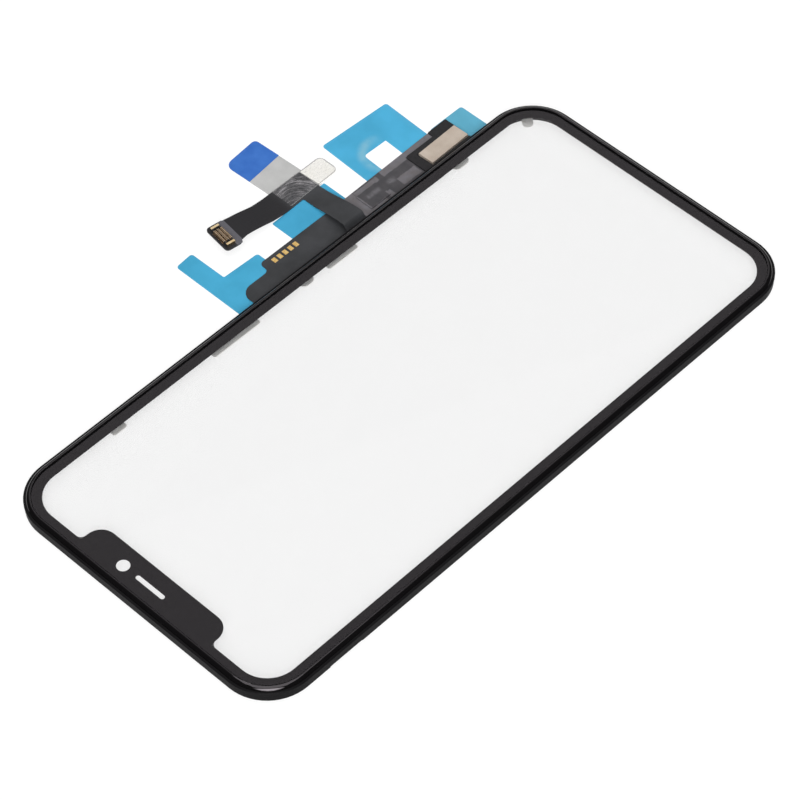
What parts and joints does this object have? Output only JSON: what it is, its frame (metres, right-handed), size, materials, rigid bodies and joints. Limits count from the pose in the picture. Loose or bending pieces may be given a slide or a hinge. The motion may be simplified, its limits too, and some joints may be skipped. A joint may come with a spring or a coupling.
{
  "type": "phone touch panel assembly",
  "caption": "Flat cover glass and touch sensor in a thin moulded bezel, with an unfolded flex circuit, connector, tapes and release liners beside it.",
  "frame": {"origin": "on the resting plane of the bezel's lower edge, under the middle of the window", "axes": "+X towards the side where the flex circuit leaves, +Y towards the notch end, +Z out of the glass's front"},
  "size_m": [0.1013, 0.1422, 0.003],
  "materials": {
    "clear_glass": "polished, rounded top edge",
    "black_ink": "printed behind the glass",
    "clear_film": "clear adhesive and film",
    "bezel_plastic": "fine satin moulding",
    "black_adhesive": "foam tape",
    "clip_steel": "stamped sheet",
    "flex_film": "black coverlay film",
    "gold_plating": "gold plated",
    "chip_metal": "satin nickel silver",
    "dam_black": "cured black resin",
    "capacitor_ceramic": "fired ceramic",
    "grey_tape": "translucent grey tape",
    "stiffener": "glass fibre laminate",
    "connector_resin": "moulded resin",
    "clear_tape": "thin wrinkled tape",
    "cream_paper": "coated paper",
    "grey_film": "matt film",
    "blue_film": "printed film",
    "light_blue_film": "release film"
  },
  "bodies": {
    "root": {"cover_glass": "clear_glass", "border_print": "black_ink", "sensor_adhesive": "clear_film", "touch_sensor": "clear_film", "display_adhesive": "clear_film", "display_liner": "clear_film", "bezel_frame": "bezel_plastic", "frame_bond": "black_adhesive", "side_clips_right": "clip_steel", "side_clips_left": "clip_steel", "corner_clip": "clip_steel", "flex_circuit": "flex_film", "contact_pads": "gold_plating", "touch_controller": "chip_metal", "controller_dam": "dam_black", "capacitors": "capacitor_ceramic", "shield_tape": "grey_tape", "connector_stiffener": "stiffener", "connector_housing": "connector_resin", "connector_contacts": "gold_plating", "connector_lugs": "gold_plating", "corner_tape": "clear_tape", "tape_tab": "cream_paper", "pull_strip": "grey_film", "pull_handle": "blue_film", "strip_adhesive": "clear_film", "liner_upper": "light_blue_film", "liner_middle": "light_blue_film", "liner_square": "light_blue_film", "liner_lower": "light_blue_film", "flex_adhesive": "clear_film"}
  },
  "joints": []
}
